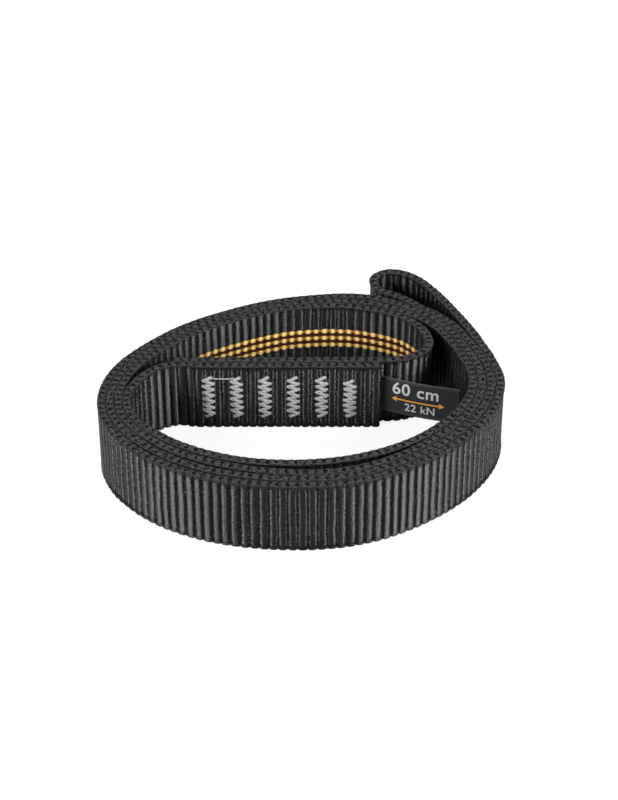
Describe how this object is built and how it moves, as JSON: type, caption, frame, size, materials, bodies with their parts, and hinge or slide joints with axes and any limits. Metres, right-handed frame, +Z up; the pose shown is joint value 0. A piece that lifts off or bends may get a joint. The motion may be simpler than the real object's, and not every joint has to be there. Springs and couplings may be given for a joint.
{
  "type": "climbing sling",
  "caption": "Sewn loop of flat ribbed climbing tape, coiled and standing on its edge, with bar tacks across the straight lap and a folded label at the cut end.",
  "frame": {"origin": "middle of the part's plan box, on the plane that the tape's lower edges stand on", "axes": "+Z up across the tape's width, +X to the right along the sewn lap, +Y away from the front of the coil, towards the outer bight"},
  "size_m": [0.1076, 0.1092, 0.0195],
  "materials": {
    "polyamide_tape": "black woven polyamide, ribbed across its width",
    "tack_thread": "pale grey sewing thread in dense zigzag stitches",
    "label_satin": "black satin ribbon, slightly glossy"
  },
  "bodies": {
    "sling": {"webbing_tape": "polyamide_tape", "bar_tack_1": "tack_thread", "bar_tack_2": "tack_thread", "bar_tack_3": "tack_thread", "bar_tack_4": "tack_thread", "bar_tack_5": "tack_thread", "bar_tack_6": "tack_thread", "label_tail": "label_satin"},
    "label": {"label_flap": "label_satin"}
  },
  "joints": [
    {"name": "label_swing", "type": "hinge", "parent": "sling", "child": "label", "pos_m": [0.02165, 0.00353, 0.00975], "axis": [0, 0, 1], "range_deg": [-60, 8]}
  ]
}
